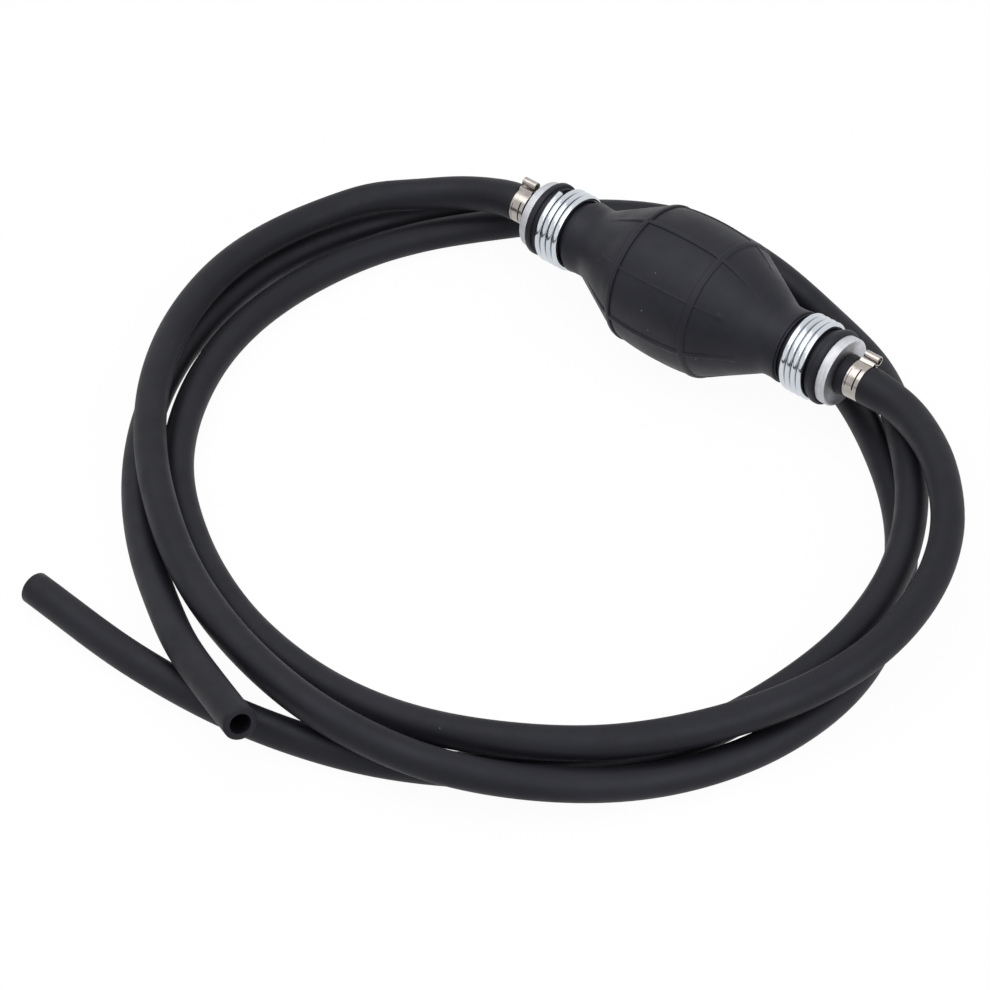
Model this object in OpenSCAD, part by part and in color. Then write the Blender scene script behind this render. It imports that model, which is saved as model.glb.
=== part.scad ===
// Siphon bulb pump: a rubber squeeze bulb between two turned aluminium hose fittings.
// Each fitting holds a spring-loaded ball valve, and both valves open towards +X, so
// squeezing the bulb draws liquid in through the inlet hose at -X and drives it out
// through the outlet hose at +X.
// X runs along the pump, Z is up, and the origin lies on the floor under the middle of
// the bulb. All lengths are in millimetres.

/* [Bulb] */
// Outer diameter at the middle of the bulb
bulb_d = 62; // [58:0.2:70]
// Length of the rubber from lip to lip
bulb_length = 150; // [146:1:170]
// Wall of the bulb, measured square to its axis
bulb_wall = 3.2; // [2.2:0.1:3.8]
// Length of the barrel between its two shoulders
barrel_length = 40; // [34:1:44]
// Outer diameter at the shoulders
shoulder_d = 58.8; // [56:0.2:62]
// Outer diameter of the necks
neck_d = 30.4; // [29.6:0.1:32]
// Length of each neck, lip included
neck_length = 28.6; // [27.5:0.1:31]
// Outer diameter of the bead on the lip at each end
lip_d = 32.2; // [31:0.1:34]
// Width of that bead
lip_bead_w = 3; // [2.4:0.1:3.6]
// Length of the lip, from the wire coil to the flange
lip_w = 5.1; // [4.6:0.1:5.6]
// Outer diameter of the rim on the inner side of each wire coil
rim_d = 31.4; // [31:0.1:34]
// Length over which the neck swells to that rim
rim_w = 3.5; // [2:0.1:4]
// Diameter of the ledges that lie beside each coil
ledge_d = 29.6; // [28.8:0.1:30.2]
// Width of the ledge between the rim and the coil
ledge_w = 0.85; // [0.5:0.05:1.5]

/* [Beads on the bulb] */
// Distance of the two ring beads from the middle
ring_bead_x = 19; // [15:0.5:21]
// Width of the ring beads
ring_bead_w = 2.8; // [1.8:0.1:3.2]
// Number of main beads that run along the bulb, with a fine one midway between each two
rib_count = 4; // [3:1:6]
// Angle of the first of them from the top, away from +Y
rib_angle = 9; // [0:1:20]
// Width of the main beads
rib_w = 2.1; // [1.8:0.1:3.2]
// How far the ring beads and the main beads stand proud
bead_h = 0.7; // [0.4:0.1:1.2]
// Width of the fine beads
fine_rib_w = 1.4; // [0.8:0.1:2]
// How far the fine beads stand proud
fine_bead_h = 0.4; // [0.2:0.1:0.7]
// Distance from the middle at which the long beads fade out
rib_reach = 42; // [36:1:44]

/* [Fittings] */
// Diameter of the plug that sits in each neck
plug_d = 22; // [20:0.1:23]
// Length of the plug inside the neck
plug_length = 24; // [23:0.1:26]
// Diameter of the flange
flange_d = 29.2; // [27:0.1:31]
// Thickness of the flange
flange_w = 4.2; // [3:0.1:6]
// Diameter of the hose tail between its barbs
tail_d = 10.4; // [9.4:0.1:10.8]
// Diameter over the barbs
barb_d = 11.6; // [11.2:0.1:12]
// Number of barbs
barb_count = 3; // [2:1:4]
// Length of the hose tail
tail_length = 17; // [15:0.5:20]
// Bore of the hose tail
tail_bore = 6.6; // [5:0.1:7.4]
// Chamfer on the flange and on the plug
edge_chamfer = 0.6; // [0.3:0.1:1]

/* [Valves] */
// Diameter of the valve chamber in each plug
chamber_d = 15; // [14:0.1:15.6]
// Length of the stack of valve parts, from the seat to the spring retainer
stack_length = 19; // [18:0.1:20]
// Diameter of the valve balls
ball_d = 9; // [8.4:0.1:9.4]
// How far a ball lifts off its seat
ball_travel = 2; // [1:0.1:2.4]
// Thickness of the valve seats
seat_w = 3; // [2.6:0.1:3.4]
// Bore of the valve seats
seat_bore = 6; // [5:0.1:6.4]
// Mean diameter of the sealing ring that a ball rests on
seal_d = 7.2; // [6.8:0.1:7.4]
// Section of that sealing ring
seal_cord = 1.8; // [1.4:0.1:1.9]
// Mean diameter of the valve springs
spring_d = 5.6; // [5:0.1:6]
// Wire of the valve springs
spring_wire = 0.8; // [0.6:0.1:0.9]
// Turns of the valve springs
spring_turns = 4; // [3:1:5]
// Thickness of the spring retainers
retainer_w = 1.6; // [1.2:0.1:2]
// Diameter of the flow holes in the spring retainers
retainer_hole_d = 2.6; // [2:0.1:2.8]
// Distance from the mouth of each chamber to its snap ring
mouth_w = 1.2; // [0.9:0.1:1.5]
// Thickness of the snap rings
snap_w = 1; // [0.8:0.1:1.2]
// Depth of the groove that holds a snap ring
snap_depth = 0.6; // [0.4:0.1:0.8]

/* [Wire coils on the necks] */
// Wire of the coils
coil_wire = 2.65; // [2.2:0.05:2.8]
// Turns of each coil
coil_turns = 3.75; // [2.75:0.25:4]
// Pitch of the inlet coil, the looser one
inlet_coil_pitch = 3; // [2.8:0.05:3.1]
// Pitch of the outlet coil
outlet_coil_pitch = 2.8; // [2.75:0.05:3]
// Inner diameter of the coils, and of the neck squeezed under them
coil_bore = 28; // [27:0.1:29]
// Angle of the inlet coil's cut end, from +Y towards the top
inlet_coil_angle = 100; // [0:5:355]
// The same angle for the outlet coil, which is the same part turned end for end
outlet_coil_angle = 280; // [0:5:355]

/* [Hose clamps] */
// Width of the clamp bands
band_w = 6.6; // [5:0.1:8]
// Thickness of the band strip
band_t = 0.5; // [0.4:0.05:0.8]
// Inner diameter of a tightened clamp
clamp_bore = 14.9; // [14.6:0.1:15.4]
// Distance from the flange to the band
clamp_gap = 4.3; // [3:0.1:6]
// Diameter of the rolled-up end of the strip
roll_d = 4.4; // [3.6:0.1:5]
// Length of the roll
roll_length = 6.8; // [5.5:0.1:8]
// Distance from the hose axis to the middle of the roll
roll_out = 10.5; // [10.2:0.1:12]
// Angle of the inlet clamp's roll above +Y
inlet_roll_angle = 78; // [0:1:180]
// Angle of the outlet clamp's roll above +Y
outlet_roll_angle = 45; // [0:1:180]

/* [Hoses] */
// Outer diameter of the hoses
hose_d = 13; // [12:0.1:13.2]
// Bore of the hoses
hose_bore = 8; // [6:0.1:9]
// Outer diameter of a hose where its end is pushed over the tail
hose_mouth_d = 17.2; // [16:0.1:18]
// Wall of a hose where the barbs stretch it
sleeve_wall = 2; // [1.6:0.1:2.4]
// Length of the straight piece at the open end of each hose
hose_end_length = 26; // [20:1:28]

/* [Fits] */
// Gap between a rubber part and the metal that it grips
grip_gap = 0.05; // [0.02:0.01:0.1]
// Gap between a coil and the squeezed neck under it
coil_gap = 0.25; // [0.1:0.05:0.4]
// Gap between a coil and the ledge beside it
coil_side_gap = 0.2; // [0.1:0.05:0.4]
// Radial gap round the valve parts in their chamber
slip_gap = 0.05; // [0.02:0.01:0.1]
// Gap between a ball at rest and what it touches
ball_gap = 0.05; // [0.02:0.01:0.1]

/* [Hidden] */
$fn = 64;

// Height of the pump's axis: the bulb lies on its lowest long bead
bottom_turn = min([for (i = [0 : rib_count - 1]) abs(rib_angle + i * 360 / rib_count - 180)]);
bead_rest_z = (bulb_d / 2 + bead_h) * cos(bottom_turn) + rib_w / 2 * sin(bottom_turn);
axis_z = max(bulb_d / 2, bead_rest_z);
lip_x = bulb_length / 2;
flange_face_x = lip_x + flange_w;
tail_end_x = flange_face_x + tail_length;
plug_end_x = lip_x - plug_length;

// Wire coils: they sit between two ledges of the neck
coil_length = coil_turns * max(inlet_coil_pitch, outlet_coil_pitch) + coil_wire;
coil_end_x = lip_x - lip_w;
coil_start_x = coil_end_x - coil_length;
coil_turn_r = (coil_bore + coil_wire) / 2;
squeezed_d = coil_bore - 2 * coil_gap;

// Valve stack: the step of the chamber is at its outer end, the snap ring at its mouth
snap_x = plug_end_x + mouth_w;
stack_x = snap_x + snap_w + 2 * slip_gap;
step_x = stack_x + stack_length;
seal_x = seat_w - seal_cord / 2 - 0.3;
ball_x = seal_x + sqrt(pow((ball_d + seal_cord) / 2 + ball_gap, 2) - pow(seal_d / 2, 2));
spring_x = ball_x + sqrt(pow(ball_d, 2) - pow(spring_d, 2)) / 2 + ball_gap;
retainer_x = stack_length - retainer_w;

// Hose clamps
band_x = flange_face_x + clamp_gap;
pinched_d = clamp_bore - 2 * grip_gap;

// Routes of the free hoses, from the tail of each fitting to the open end
INLET_ROUTE = [
    [-107, -1.5, 28.5], [-122.5, -7.5, 25.5], [-134, -16.5, 23.5], [-147, -29, 23],
    [-156, -46, 21], [-162, -67, 20.5], [-164, -95, 20.5], [-156, -131.5, 20.5],
    [-137, -168.5, 20.5], [-109.5, -200.5, 20.5], [-76, -227, 20], [-37, -249, 20],
    [6, -262.5, 19.5], [50, -267.5, 20.5], [90, -259.5, 18.5], [124.5, -236.5, 13.5],
    [150.5, -204.5, 8], [168.5, -165, 6.5], [173, -122, 6.5], [162, -80, 6.5],
    [138, -39, 6.5], [102, -5, 6.5], [60, 20.5, 6.5], [12, 33, 6.5], [-40, 42.5, 6.5],
    [-86, 37, 6.5], [-124, 11, 6.5], [-150, -29, 6.5], [-162, -77, 6.5], [-157.5, -121, 6.5],
    [-140, -166.5, 6.5], [-113, -204.5, 6.5], [-78.5, -236, 7.5], [-45.5, -258, 11.5],
    [-18, -274.5, 18], [5, -285, 23.5], [35, -298, 31]
];
OUTLET_ROUTE = [
    [110, -3, 32], [124.5, -10, 32.5], [138, -19, 32.5], [150.5, -31, 32], [163, -46.5, 31],
    [172, -64.5, 29], [178.5, -90, 27], [179, -118, 25], [171, -149, 22.5],
    [155.5, -180, 20.5], [132.5, -211.5, 20.5], [101, -236, 20.5], [62, -246.5, 13.5],
    [20, -247.5, 8], [-25, -239.5, 6.5], [-68, -220, 6.5], [-101.5, -194.5, 7],
    [-126.5, -160, 7], [-142, -120, 6.5], [-144, -72, 6.5], [-131, -26, 6.5],
    [-103.5, 8.5, 9.5], [-71.5, 29.5, 18], [-37.5, 44, 21.5], [0, 49, 17], [40, 43, 11.5],
    [77, 27, 14], [110, -2, 18.5], [139, -35.5, 20.5], [157.5, -72, 20.5],
    [164.5, -113, 18.5], [158, -152.5, 13], [141, -193, 7], [111, -230.5, 6.5],
    [68.5, -261, 6.5], [20, -277.5, 6.5], [-32, -283, 6.5], [-93, -280, 6.5]
];
hose_sides = 12;
hose_lap = 2;
hose_inset = 0.05;

// How far a cut runs past the face that it opens
past = 1;

// ---- Outlines ----

function unit(v) = v / norm(v);

// A polyline whose corners [x, y, reach] are rounded by a curve that starts and ends
// at the given reach from the corner
function rounded(corners, steps = 5) = [
    for (i = [0 : len(corners) - 1])
        let (c = corners[i], p = [c[0], c[1]])
        if (c[2] == 0) p
        else
            let (
                q = corners[i - 1],
                n = corners[i + 1],
                a = p + c[2] * unit([q[0], q[1]] - p),
                b = p + c[2] * unit([n[0], n[1]] - p)
            )
            each [
                for (s = [0 : steps])
                    let (t = s / steps)
                    (1 - t) * (1 - t) * a + 2 * t * (1 - t) * p + t * t * b
            ]
];

// Half of the bulb's outer outline as [distance from the middle, radius]
barrel_x = barrel_length / 2;
neck_x = lip_x - neck_length;
shoulder_round = 5.5;
crown_x = 0.35 * barrel_x;
bore_lead = 2;
foot_round = 2.4;
bulb_outline = rounded([
    [0, bulb_d / 2, 0],
    [crown_x, bulb_d / 2, crown_x - 0.1],
    [barrel_x, shoulder_d / 2, shoulder_round],
    [neck_x, neck_d / 2, foot_round],
    [lip_x, neck_d / 2, 0]
]);

// Half of the cavity's outline
cavity_outline = [for (p = bulb_outline) if (p[0] < neck_x) [p[0], p[1] - bulb_wall]];

function both_ways(half) = concat(
    [for (i = [len(half) - 1 : -1 : 1]) [-half[i][0], half[i][1]]],
    half
);

// Turns an outline of [x, radius] into a solid round the pump's axis
module turned(outline) {
    translate([0, 0, axis_z])
        rotate([0, 90, 0])
            rotate_extrude()
                polygon([for (p = outline) [p[1], p[0]]]);
}

module at_axis(x) {
    translate([x, 0, axis_z]) rotate([0, 90, 0]) children();
}

// ---- Tubes along a path ----

// One ring of points round a path point, square to the given direction
function ring(p, direction, r, sides, turn) =
    let (
        t = unit(direction),
        flat = unit(cross(t, abs(t[2]) < 0.9 ? [0, 0, 1] : [0, 1, 0])),
        up = cross(flat, t)
    )
    [for (j = [0 : sides - 1]) let (a = turn + j * 360 / sides) p + r * (cos(a) * flat + sin(a) * up)];

// Triangles between two rings whose first points are numbers a and b
function band_faces(a, b, sides) = [
    for (j = [0 : sides - 1])
        let (k = (j + 1) % sides)
        each [[a + j, b + j, b + k], [a + j, b + k, a + k]]
];

function flipped(faces) = [for (f = faces) [f[2], f[1], f[0]]];

function fan(a, sides) = [for (j = [1 : sides - 2]) [a, a + j, a + j + 1]];

// Direction of a path at each of its points
function direction_at(path, i) =
    i == 0 ? path[1] - path[0]
    : i == len(path) - 1 ? path[i] - path[i - 1]
    : unit(path[i] - path[i - 1]) + unit(path[i + 1] - path[i]);

// ---- Bulb ----

module bulb_skin() {
    rim_x = coil_start_x - coil_side_gap - ledge_w;
    outline = [for (p = bulb_outline) if (p[0] < rim_x - rim_w) p];
    ends = rounded([
        [rim_x - rim_w, neck_d / 2, 0],
        [rim_x, rim_d / 2, 0.7],
        [rim_x, ledge_d / 2, 0],
        [coil_start_x - coil_side_gap, ledge_d / 2, 0],
        [coil_start_x - coil_side_gap, squeezed_d / 2, 0],
        [coil_end_x + coil_side_gap, squeezed_d / 2, 0],
        [coil_end_x + coil_side_gap, ledge_d / 2, 0],
        [lip_x - lip_bead_w, ledge_d / 2, 0],
        [lip_x - lip_bead_w, lip_d / 2, 1],
        [lip_x, lip_d / 2, 1.2],
        [lip_x, plug_d / 2 + grip_gap, 0],
        [plug_end_x - bore_lead, plug_d / 2 + grip_gap, 0]
    ]);
    cavity = concat(
        [for (i = [len(cavity_outline) - 1 : -1 : 1]) cavity_outline[i]],
        [for (p = cavity_outline) [-p[0], p[1]]],
        [for (i = [len(ends) - 1 : -1 : 0]) [-ends[i][0], ends[i][1]]],
        [for (i = [len(outline) - 1 : -1 : 1]) [-outline[i][0], outline[i][1]]],
        outline,
        ends
    );
    turned(cavity);
}

module ring_bead(x) {
    bead_r = ring_bead_w / 2 + 0.2;
    at_axis(x)
        rotate_extrude()
            translate([lookup(abs(x), bulb_outline) + bead_h - bead_r, 0]) circle(bead_r);
}

// One long bead: a strip that follows the bulb's outline and fades out at its ends
module long_bead(w, h) {
    sunk = 0.3;
    root = 1.2;
    steps = 12;
    xs = [for (i = [-steps : steps]) i * rib_reach / steps];
    rotate([90, 0, 0])
        linear_extrude(height = w, center = true)
            polygon(concat(
                [
                    for (x = xs)
                        let (rise = (h + sunk) * (1 - pow(x / rib_reach, 4)))
                        [x, lookup(abs(x), bulb_outline) - sunk + rise]
                ],
                [for (i = [2 * steps : -1 : 0]) [xs[i], lookup(abs(xs[i]), bulb_outline) - root]]
            ));
}

module bulb() {
    color([0.16, 0.16, 0.17]) union() {
        bulb_skin();
        ring_bead(-ring_bead_x);
        ring_bead(ring_bead_x);
        for (i = [0 : rib_count - 1])
            translate([0, 0, axis_z]) rotate([rib_angle + i * 360 / rib_count, 0, 0]) {
                long_bead(rib_w, bead_h);
                rotate([180 / rib_count, 0, 0]) long_bead(fine_rib_w, fine_bead_h);
            }
    }
}

// ---- Fittings ----

// Outer outline of the barbed tail, grown by a gap for the hose that grips it
function tail_outline(gap) =
    let (
        barb_w = tail_length / (barb_count + 0.5),
        root = tail_d / 2 + gap,
        crest = barb_d / 2 + gap,
        first_x = tail_end_x - barb_count * barb_w
    )
    concat(
        [[flange_face_x, root], [first_x, root]],
        [
            for (i = [0 : barb_count - 1])
                let (x = first_x + i * barb_w)
                each [[x, crest], [x + barb_w, root]]
        ]
    );

module fitting() {
    c = edge_chamfer;
    turned(concat(
        [
            [plug_end_x, chamber_d / 2],
            [plug_end_x, plug_d / 2 - c],
            [plug_end_x + c, plug_d / 2],
            [lip_x, plug_d / 2],
            [lip_x, flange_d / 2 - c / 2],
            [lip_x + c / 2, flange_d / 2],
            [flange_face_x - c, flange_d / 2],
            [flange_face_x, flange_d / 2 - c]
        ],
        tail_outline(0),
        [
            [tail_end_x, tail_bore / 2],
            [step_x, tail_bore / 2],
            [step_x, chamber_d / 2],
            [snap_x + snap_w + slip_gap, chamber_d / 2],
            [snap_x + snap_w + slip_gap, chamber_d / 2 + snap_depth],
            [snap_x - slip_gap, chamber_d / 2 + snap_depth],
            [snap_x - slip_gap, chamber_d / 2]
        ]
    ));
}

module inlet_fitting() {
    color([0.72, 0.72, 0.73]) mirror([1, 0, 0]) fitting();
}

module outlet_fitting() {
    color([0.72, 0.72, 0.73]) fitting();
}

// ---- Valves ----
// Both stacks point towards +X: the inlet's starts at the step of its chamber, the
// outlet's at the snap ring in the mouth of its chamber

inlet_stack_x = -step_x;
outlet_stack_x = stack_x;

module valve_seat(x) {
    seal_r = (seal_d + seal_cord) / 2 + slip_gap;
    at_axis(x) difference() {
        cylinder(h = seat_w, d = chamber_d - 2 * slip_gap);
        translate([0, 0, -past]) cylinder(h = seat_w + 2 * past, d = seat_bore);
        translate([0, 0, seal_x - seal_cord / 2 - slip_gap])
            cylinder(h = seat_w, r = seal_r);
    }
}

module seal_ring(x) {
    at_axis(x + seal_x)
        rotate_extrude() translate([seal_d / 2, 0]) circle(d = seal_cord);
}

module valve_ball(x) {
    at_axis(x + ball_x) sphere(d = ball_d);
}

module spring_retainer(x) {
    hole_ring_d = (chamber_d + spring_d) / 2;
    at_axis(x + retainer_x) difference() {
        cylinder(h = retainer_w, d = chamber_d - 2 * slip_gap);
        translate([0, 0, -past]) cylinder(h = retainer_w + 2 * past, d = spring_d - 2 * spring_wire);
        for (i = [0 : 5])
            rotate(i * 60) translate([hole_ring_d / 2, 0, -past])
                cylinder(h = retainer_w + 2 * past, d = retainer_hole_d);
    }
}

module snap_ring() {
    opening = 60;
    shown = 1.2;
    at_axis(snap_x)
        rotate(opening / 2)
            rotate_extrude(angle = 360 - opening)
                translate([chamber_d / 2 - shown, 0])
                    square([shown + snap_depth - slip_gap, snap_w]);
}

// Points along a helix round the pump's axis
function helix(x, length, r, turns, per_turn, start_angle) = [
    for (i = [0 : turns * per_turn])
        let (a = start_angle + i * 360 / per_turn)
        [x + length * i / (turns * per_turn), r * cos(a), axis_z + r * sin(a)]
];

// Rings of a wire whose flats face its neighbouring turns
function wire_rings(path, r) = [
    for (i = [0 : len(path) - 1])
        let (
            t = unit(direction_at(path, i)),
            out = unit([0, path[i][1], path[i][2] - axis_z]),
            square_out = unit(out - (out * t) * t),
            side = cross(t, square_out)
        )
        [for (j = [0 : 5]) path[i] + r * (cos(60 * j) * square_out + sin(60 * j) * side)]
];

module wire(path, d) {
    rings = wire_rings(path, d / 2);
    count = len(path);
    faces = concat(
        [for (i = [0 : count - 2]) each band_faces(6 * i, 6 * (i + 1), 6)],
        fan(0, 6),
        flipped(fan(6 * (count - 1), 6))
    );
    polyhedron([for (r = rings) each r], faces);
}

module valve_spring(x) {
    start_x = x + spring_x + spring_wire / 2;
    end_x = x + retainer_x - spring_wire / 2 - ball_gap;
    // What is left of the spring's free length when the ball is fully lifted
    echo(spring_spare = end_x - start_x - ball_travel - spring_turns * spring_wire);
    wire(helix(start_x, end_x - start_x, spring_d / 2, spring_turns, 8, 90), spring_wire);
}

module inlet_valve_seat() { color([0.78, 0.66, 0.36]) valve_seat(inlet_stack_x); }
module outlet_valve_seat() { color([0.78, 0.66, 0.36]) valve_seat(outlet_stack_x); }
module inlet_seal_ring() { color([0.1, 0.1, 0.1]) seal_ring(inlet_stack_x); }
module outlet_seal_ring() { color([0.1, 0.1, 0.1]) seal_ring(outlet_stack_x); }
module inlet_valve_ball() { color([0.8, 0.8, 0.82]) valve_ball(inlet_stack_x); }
module outlet_valve_ball() { color([0.8, 0.8, 0.82]) valve_ball(outlet_stack_x); }
module inlet_valve_spring() { color([0.6, 0.6, 0.62]) valve_spring(inlet_stack_x); }
module outlet_valve_spring() { color([0.6, 0.6, 0.62]) valve_spring(outlet_stack_x); }
module inlet_spring_retainer() { color([0.78, 0.66, 0.36]) spring_retainer(inlet_stack_x); }
module outlet_spring_retainer() { color([0.78, 0.66, 0.36]) spring_retainer(outlet_stack_x); }
module inlet_snap_ring() { color([0.5, 0.5, 0.52]) mirror([1, 0, 0]) snap_ring(); }
module outlet_snap_ring() { color([0.5, 0.5, 0.52]) snap_ring(); }

// ---- Wire coils ----

coil_rings = 24;

// Middle of a coil's wire from the flange side to the bulb, as the inlet's lies, with a
// straight cut end, one wire long, at each end
function coil_path(start_angle, pitch) =
    let (
        turns = helix(
            -coil_end_x + coil_wire / 2, coil_turns * pitch, coil_turn_r,
            coil_turns, coil_rings, start_angle
        ),
        count = len(turns)
    )
    concat(
        [turns[0] - coil_wire * unit(turns[1] - turns[0])],
        turns,
        [turns[count - 1] + coil_wire * unit(turns[count - 1] - turns[count - 2])]
    );

// Least distance between the wire's surface points on neighbouring turns
function coil_self_gap(path) =
    let (rings = wire_rings(path, coil_wire / 2), ahead = coil_rings * 3 / 4)
    min([
        for (i = [0 : len(rings) - 1])
            if (i + ahead < len(rings))
                for (k = [i + ahead : min(i + ahead + coil_rings / 2, len(rings) - 1)])
                    for (a = rings[i], b = rings[k]) norm(a - b)
    ]);

module neck_coil(start_angle, pitch) {
    path = coil_path(start_angle, pitch);
    echo(coil_self_gap = coil_self_gap(path));
    wire(path, coil_wire);
}

module inlet_neck_coil() {
    color([0.75, 0.77, 0.8]) neck_coil(inlet_coil_angle, inlet_coil_pitch);
}

module outlet_neck_coil() {
    color([0.75, 0.77, 0.8]) rotate([0, 0, 180]) neck_coil(outlet_coil_angle, outlet_coil_pitch);
}

// ---- Hose clamps ----

module hose_clamp(roll_angle) {
    lug_out = roll_out - clamp_bore / 2;
    at_axis(band_x) {
        difference() {
            cylinder(h = band_w, d = clamp_bore + 2 * band_t);
            translate([0, 0, -past]) cylinder(h = band_w + 2 * past, d = clamp_bore);
        }
        // the local x axis points down and y along +Y
        rotate(90 + roll_angle) {
            translate([clamp_bore / 2 + band_t / 2, -band_t, 0])
                cube([lug_out - band_t / 2, 2 * band_t, band_w]);
            translate([roll_out, 0, (band_w - roll_length) / 2]) cylinder(h = roll_length, d = roll_d);
        }
    }
}

module inlet_hose_clamp() {
    color([0.72, 0.7, 0.67]) mirror([1, 0, 0]) hose_clamp(inlet_roll_angle);
}

module outlet_hose_clamp() {
    color([0.72, 0.7, 0.67]) hose_clamp(outlet_roll_angle);
}

// ---- Hoses ----

// The hose from the flange to the end of the tail, widened by the barbs and drawn in
// by the clamp
module hose_sleeve() {
    swell_d = barb_d + 2 * sleeve_wall;
    slope = 1.6;
    throat = 0.3;
    turned(concat(
        rounded([
            [flange_face_x, hose_mouth_d / 2 - slope, 0],
            [flange_face_x, hose_mouth_d / 2, 0.8],
            [band_x - slope, hose_mouth_d / 2 - throat, 0.8],
            [band_x - 0.4, pinched_d / 2, 0.3],
            [band_x + band_w + 0.4, pinched_d / 2, 0.2],
            [band_x + band_w + slope, swell_d / 2, 0.5],
            [tail_end_x + hose_lap, swell_d / 2 - 0.2, 0]
        ], 3),
        [[tail_end_x + hose_lap, hose_bore / 2 + 1.2], [tail_end_x + grip_gap, barb_d / 2 - throat]],
        [for (i = [2 * barb_count + 1 : -1 : 0]) tail_outline(grip_gap)[i]]
    ));
}

// Points of a hose: a short lap inside the sleeve, then the free route to the start
// of its straight open end
function hose_path(side, route) =
    let (
        last = route[len(route) - 1],
        before = route[len(route) - 2],
        back = unit(before - last)
    )
    concat(
        [[side * tail_end_x, 0, axis_z], [side * (tail_end_x + hose_lap + 1), 0, axis_z]],
        [for (i = [0 : len(route) - 2]) [route[i][0], route[i][1], max(route[i][2], hose_d / 2)]],
        [last + back * (hose_end_length - hose_lap)]
    );

// The wall of the free hose, a little wider next to the tail that it is stretched over
module hose_wall(path) {
    stretch = (barb_d - hose_bore) / 2 - 0.5;
    count = len(path);
    bore_r = hose_bore / 2 / cos(180 / hose_sides) + hose_inset;
    swell = [for (i = [0 : count - 1]) stretch * max(0, 1 - i / 5)];
    outer = [
        for (i = [0 : count - 1])
            each ring(path[i], direction_at(path, i), hose_d / 2 - hose_inset + swell[i] * 0.7, hose_sides, 0)
    ];
    inner = [
        for (i = [0 : count - 1])
            each ring(path[i], direction_at(path, i), bore_r + swell[i], hose_sides, 0)
    ];
    n = len(outer);
    last = (count - 1) * hose_sides;
    faces = concat(
        [for (i = [0 : count - 2]) each flipped(band_faces(i * hose_sides, (i + 1) * hose_sides, hose_sides))],
        [for (i = [0 : count - 2]) each band_faces(n + i * hose_sides, n + (i + 1) * hose_sides, hose_sides)],
        band_faces(0, n, hose_sides),
        flipped(band_faces(last, n + last, hose_sides))
    );
    polyhedron(concat(outer, inner), faces);
}

// The straight open end, cut square
module hose_end(route) {
    last = route[len(route) - 1];
    along = unit(last - route[len(route) - 2]);
    turn = atan2(along[1], along[0]);
    tilt = acos(along[2]);
    translate(last)
        rotate([0, tilt, turn])
            translate([0, 0, -hose_end_length])
                difference() {
                    cylinder(h = hose_end_length, d = hose_d);
                    translate([0, 0, -past]) cylinder(h = hose_end_length + 2 * past, d = hose_bore);
                }
}

module inlet_hose() {
    color([0.13, 0.13, 0.14]) union() {
        mirror([1, 0, 0]) hose_sleeve();
        hose_wall(hose_path(-1, INLET_ROUTE));
        hose_end(INLET_ROUTE);
    }
}

module outlet_hose() {
    color([0.13, 0.13, 0.14]) union() {
        hose_sleeve();
        hose_wall(hose_path(1, OUTLET_ROUTE));
        hose_end(OUTLET_ROUTE);
    }
}

bulb();
inlet_fitting();
outlet_fitting();
inlet_valve_seat();
outlet_valve_seat();
inlet_seal_ring();
outlet_seal_ring();
inlet_valve_ball();
outlet_valve_ball();
inlet_valve_spring();
outlet_valve_spring();
inlet_spring_retainer();
outlet_spring_retainer();
inlet_snap_ring();
outlet_snap_ring();
inlet_neck_coil();
outlet_neck_coil();
inlet_hose_clamp();
outlet_hose_clamp();
inlet_hose();
outlet_hose();
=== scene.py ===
import math

import bpy
import numpy as np
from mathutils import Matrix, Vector


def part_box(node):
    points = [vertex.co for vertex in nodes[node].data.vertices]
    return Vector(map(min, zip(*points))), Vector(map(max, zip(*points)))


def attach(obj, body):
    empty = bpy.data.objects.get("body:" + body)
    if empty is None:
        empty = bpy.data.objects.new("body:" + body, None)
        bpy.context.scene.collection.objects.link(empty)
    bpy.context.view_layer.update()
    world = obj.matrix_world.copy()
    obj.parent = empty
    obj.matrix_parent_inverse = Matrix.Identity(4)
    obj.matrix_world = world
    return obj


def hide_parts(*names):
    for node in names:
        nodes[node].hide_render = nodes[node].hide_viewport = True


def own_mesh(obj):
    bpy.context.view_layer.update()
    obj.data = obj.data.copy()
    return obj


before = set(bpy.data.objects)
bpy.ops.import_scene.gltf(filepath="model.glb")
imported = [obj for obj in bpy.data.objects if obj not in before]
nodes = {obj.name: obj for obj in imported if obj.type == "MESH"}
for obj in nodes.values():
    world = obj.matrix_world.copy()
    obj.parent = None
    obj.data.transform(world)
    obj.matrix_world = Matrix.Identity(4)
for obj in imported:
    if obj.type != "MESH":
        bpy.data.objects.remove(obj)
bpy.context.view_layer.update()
mm = 0.001  # the tables and the mesh functions are in millimetres
lowest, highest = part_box("inlet_fitting")
axisZ = (lowest.z + highest.z) / 2 / mm  # height of the pump's axis
print("frame loaded,", len(nodes), "nodes, axis at", round(axisZ, 2), "mm")

view = {
    "at": (717.04, -941.0, 966.44), "towards": (-0.69, -119.18, 0.0),
    "focalPixels": 3700, "imageWidth": 990, "sensor": 36, "clipEnd": 20000,
}
camera = bpy.data.objects.new("camera", bpy.data.cameras.new("camera"))
bpy.context.scene.collection.objects.link(camera)
camera.location = Vector(view["at"]) * mm
sight = (Vector(view["towards"]) - Vector(view["at"])) * mm
camera.rotation_euler = sight.to_track_quat("-Z", "Y").to_euler()
camera.data.sensor_width = view["sensor"]
camera.data.lens = view["focalPixels"] / view["imageWidth"] * view["sensor"]
camera.data.clip_end = view["clipEnd"] * mm
bpy.context.scene.camera = camera
bpy.context.scene.view_settings.view_transform = "Standard"
print("camera placed")


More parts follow.
